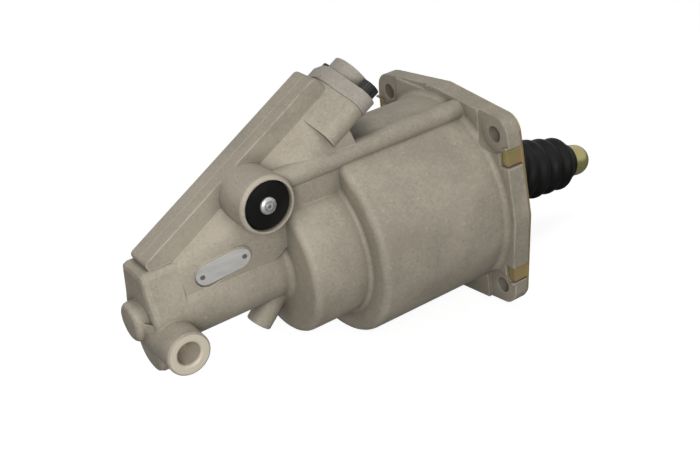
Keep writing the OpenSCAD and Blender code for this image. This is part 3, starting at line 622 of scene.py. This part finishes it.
class ACTUATOR_OT_screws(bpy.types.Operator):
    """Make the two knurled socket screws of the valve cover"""

    bl_idname = "actuator.screws"
    bl_label = "Cover screws"

    def execute(self, context):
        settings = context.scene.actuator
        black = metal("black_oxide", (0.008, 0.0075, 0.007), 0.2, 0.36)
        radius, height, rib = 4.7 * MM, 6 * MM, 0.3 * MM
        socket_r, socket_depth = 2.9 * MM, 3.2 * MM
        bpy.ops.object.select_all(action="DESELECT")
        bpy.ops.mesh.primitive_cylinder_add(
            vertices=2 * settings.knurls, radius=radius, depth=height, location=(0, 0, height / 2))
        head = settle("cover_screw_left", black)
        edit(head, "FACE")
        pick_faces(head, lambda f: abs(f.normal.z) > 0.9)
        bpy.ops.mesh.inset(thickness=0.45 * MM)
        pick_faces(head, lambda f: abs(f.normal.z) < 0.1 and f.index % 2 == 0)
        bpy.ops.mesh.extrude_faces_move(TRANSFORM_OT_shrink_fatten={"value": rib})
        bpy.ops.mesh.select_all(action="SELECT")
        bpy.ops.mesh.normals_make_consistent(inside=False)
        bpy.ops.object.mode_set(mode="OBJECT")
        bpy.ops.object.select_all(action="DESELECT")
        bpy.ops.mesh.primitive_cylinder_add(
            vertices=6, radius=socket_r, depth=2 * socket_depth, location=(0, 0, height))
        socket = bpy.context.object
        modify(head, "BOOLEAN", object=socket, operation="DIFFERENCE", solver="EXACT")
        bpy.data.objects.remove(socket)
        modify(head, "BEVEL", width=0.25 * MM, segments=2, limit_method="ANGLE",
               angle_limit=math.radians(60))
        other = head.copy()
        other.data = head.data.copy()
        other.name = "cover_screw_right"
        context.collection.objects.link(other)
        for screw, side in ((head, -SCREW_SIDE), (other, SCREW_SIDE)):
            bpy.ops.object.select_all(action="DESELECT")
            screw.select_set(True)
            context.view_layer.objects.active = screw
            along_valve(screw, COVER_TOP, side)
            bpy.ops.object.transform_apply(location=True, rotation=True, scale=True)
            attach(screw, "housing")
            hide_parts("cover_screws")
        dress(black, "cover_screws")
        return {"FINISHED"}


class ACTUATOR_OT_threads(bpy.types.Operator):
    """Make the threads of the fluid and air inlets"""

    bl_idname = "actuator.threads"
    bl_label = "Inlet threads"

    def thread(self, name, radius, length, material, slot, pitch):
        """Screws a small three-sided ridge round Z, as long as whole turns allow."""
        bpy.ops.object.select_all(action="DESELECT")
        bpy.ops.mesh.primitive_circle_add(
            vertices=3, radius=pitch * 0.42, location=(radius, 0, 0),
            rotation=(math.pi / 2, 0, math.pi / 2))
        piece = settle(name, material)
        edit(piece)
        bpy.ops.mesh.select_all(action="SELECT")
        bpy.ops.transform.resize(value=(1, 0.9, 0.9), center_override=(radius, 0, 0))
        bpy.ops.object.mode_set(mode="OBJECT")
        turns = int(length / pitch)
        modify(piece, "SCREW", axis="Z", steps=40, render_steps=40, screw_offset=pitch,
               iterations=turns, use_merge_vertices=False)
        edit(piece)
        bpy.ops.mesh.select_all(action="SELECT")
        bpy.ops.mesh.fill_holes(sides=4)
        bpy.ops.mesh.normals_make_consistent(inside=False)
        bpy.ops.object.mode_set(mode="OBJECT")
        return piece

    def execute(self, context):
        pitch = context.scene.actuator.thread_pitch
        cut = metal("cut_thread", (0.68, 0.65, 0.6), 0.4, 0.3)
        fluid_depth, air_depth = 16 * MM, 13 * MM
        fluid = self.thread("fluid_inlet_thread", radius=6.25 * MM, length=14 * MM,
                            material=cut, slot="cast_aluminium", pitch=pitch)
        fluid.matrix_world = Matrix.Translation(PORT + Vector((0, fluid_depth, 0))) @ (
            Matrix.Rotation(math.pi / 2, 4, "X"))
        bpy.ops.object.transform_apply(location=True, rotation=True, scale=True)
        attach(fluid, "housing")
        air = self.thread("air_inlet_thread", radius=7.25 * MM, length=11 * MM,
                          material=cut, slot="cover_aluminium", pitch=pitch)
        along_valve(air, COLLAR_TOP - air_depth)
        bpy.ops.object.transform_apply(location=True, rotation=True, scale=True)
        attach(air, "housing")
        return {"FINISHED"}


class ACTUATOR_OT_stage(bpy.types.Operator):
    """Set up the floor, the lamps, the white surroundings and the camera"""

    bl_idname = "actuator.stage"
    bl_label = "Studio"

    def floor(self):
        """A pale floor that the camera sees as white wherever no shadow falls on it."""
        bpy.ops.object.select_all(action="DESELECT")
        bpy.ops.mesh.primitive_plane_add(size=8, location=(0, 0, CAD_BOX[0][2] - 0.5 * MM))
        floor = bpy.context.object
        floor.name = "floor"
        paper = bpy.data.materials.new("paper")
        paper.use_nodes = True
        tree = paper.node_tree
        base = tree.nodes["Principled BSDF"]
        base.inputs["Roughness"].default_value = 0.9
        base.inputs["Specular IOR Level"].default_value = 0.1

        # Grey where it throws light back onto the object, pale where the camera sees it
        ray = tree.nodes.new("ShaderNodeLightPath")
        tone = tree.nodes.new("ShaderNodeMixRGB")
        tone.inputs["Color1"].default_value = (0.32, 0.32, 0.32, 1)
        tone.inputs["Color2"].default_value = (0.9, 0.9, 0.9, 1)

        # For the camera it also glows, so that the object's shadow stays faint
        white = tree.nodes.new("ShaderNodeEmission")
        white.inputs["Strength"].default_value = 1.46
        part = tree.nodes.new("ShaderNodeMath")
        part.operation = "MULTIPLY"
        part.inputs[1].default_value = 0.6
        mix = tree.nodes.new("ShaderNodeMixShader")
        tree.links.new(ray.outputs["Is Camera Ray"], tone.inputs["Fac"])
        tree.links.new(tone.outputs[0], base.inputs["Base Color"])
        tree.links.new(ray.outputs["Is Camera Ray"], part.inputs[0])
        tree.links.new(part.outputs[0], mix.inputs[0])
        tree.links.new(base.outputs[0], mix.inputs[1])
        tree.links.new(white.outputs[0], mix.inputs[2])
        tree.links.new(mix.outputs[0], tree.nodes["Material Output"].inputs["Surface"])
        floor.data.materials.append(paper)

    def surroundings(self, scene):
        """White to the camera, in gloss and through glass, and nearly dark as a light."""
        world = bpy.data.worlds.new("studio")
        scene.world = world
        world.use_nodes = True
        tree = world.node_tree
        back = tree.nodes["Background"]
        back.inputs["Color"].default_value = (1, 1, 1, 1)
        ray = tree.nodes.new("ShaderNodeLightPath")
        seen = ray.outputs["Is Camera Ray"]
        for kind in ("Is Glossy Ray", "Is Transmission Ray"):
            either = tree.nodes.new("ShaderNodeMath")
            either.operation = "MAXIMUM"
            tree.links.new(seen, either.inputs[0])
            tree.links.new(ray.outputs[kind], either.inputs[1])
            seen = either.outputs[0]
        level = tree.nodes.new("ShaderNodeMapRange")
        level.inputs["To Min"].default_value = 0.05
        level.inputs["To Max"].default_value = 1.0
        tree.links.new(seen, level.inputs["Value"])
        tree.links.new(level.outputs["Result"], back.inputs["Strength"])

    def lamp(self, name, place, size, power):
        bpy.ops.object.light_add(type="AREA", location=place)
        lamp = bpy.context.object
        lamp.name = name
        lamp.data.size = size
        lamp.data.energy = power
        lamp.rotation_mode = "QUATERNION"
        lamp.rotation_quaternion = (Vector(place) - MIDDLE).to_track_quat("Z", "Y")

    def camera(self, scene):
        camera = bpy.data.objects.new("camera", bpy.data.cameras.new("camera"))
        scene.collection.objects.link(camera)
        turn = Matrix((CAMERA_RIGHT, CAMERA_UP, CAMERA_BACK)).transposed().to_4x4()
        camera.matrix_world = Matrix.Translation(CAMERA_PLACE) @ turn
        camera.data.sensor_width = SENSOR
        camera.data.lens = FOCAL_PIXELS / PHOTO_PIXELS * SENSOR
        camera.data.clip_start = 0.01
        camera.data.clip_end = 50
        scene.camera = camera

    def execute(self, context):
        scene = context.scene
        scene.view_settings.view_transform = "Standard"
        self.floor()
        self.surroundings(scene)
        for lamp in LAMPS:
            self.lamp(*lamp)
        self.camera(scene)
        return {"FINISHED"}


OPERATORS = (
    ACTUATOR_OT_castings, ACTUATOR_OT_boot, ACTUATOR_OT_screws, ACTUATOR_OT_threads,
    ACTUATOR_OT_stage,
)


class ACTUATOR_PT_panel(bpy.types.Panel):
    bl_label = "Clutch Actuator"
    bl_space_type = "VIEW_3D"
    bl_region_type = "UI"
    bl_category = "Actuator"

    def draw(self, context):
        settings = context.scene.actuator
        column = self.layout.column()
        for name in ("cast_colour", "zinc_colour", "rubber_colour", "boot_pleats", "boot_sides",
                     "boot_wall", "pleat_depth", "knurls", "thread_pitch"):
            column.prop(settings, name)
        for operator in OPERATORS:
            column.operator(operator.bl_idname)


CLASSES = (ActuatorSettings, *OPERATORS, ACTUATOR_PT_panel)


def register():
    for cls in CLASSES:
        bpy.utils.register_class(cls)
    bpy.types.Scene.actuator = bpy.props.PointerProperty(type=ActuatorSettings)


def unregister():
    del bpy.types.Scene.actuator
    for cls in reversed(CLASSES):
        bpy.utils.unregister_class(cls)


def main():
    register()
    bpy.ops.actuator.castings()
    bpy.ops.actuator.boot()
    bpy.ops.actuator.screws()
    bpy.ops.actuator.threads()
    bpy.ops.actuator.stage()


if __name__ == "__main__":
    main()
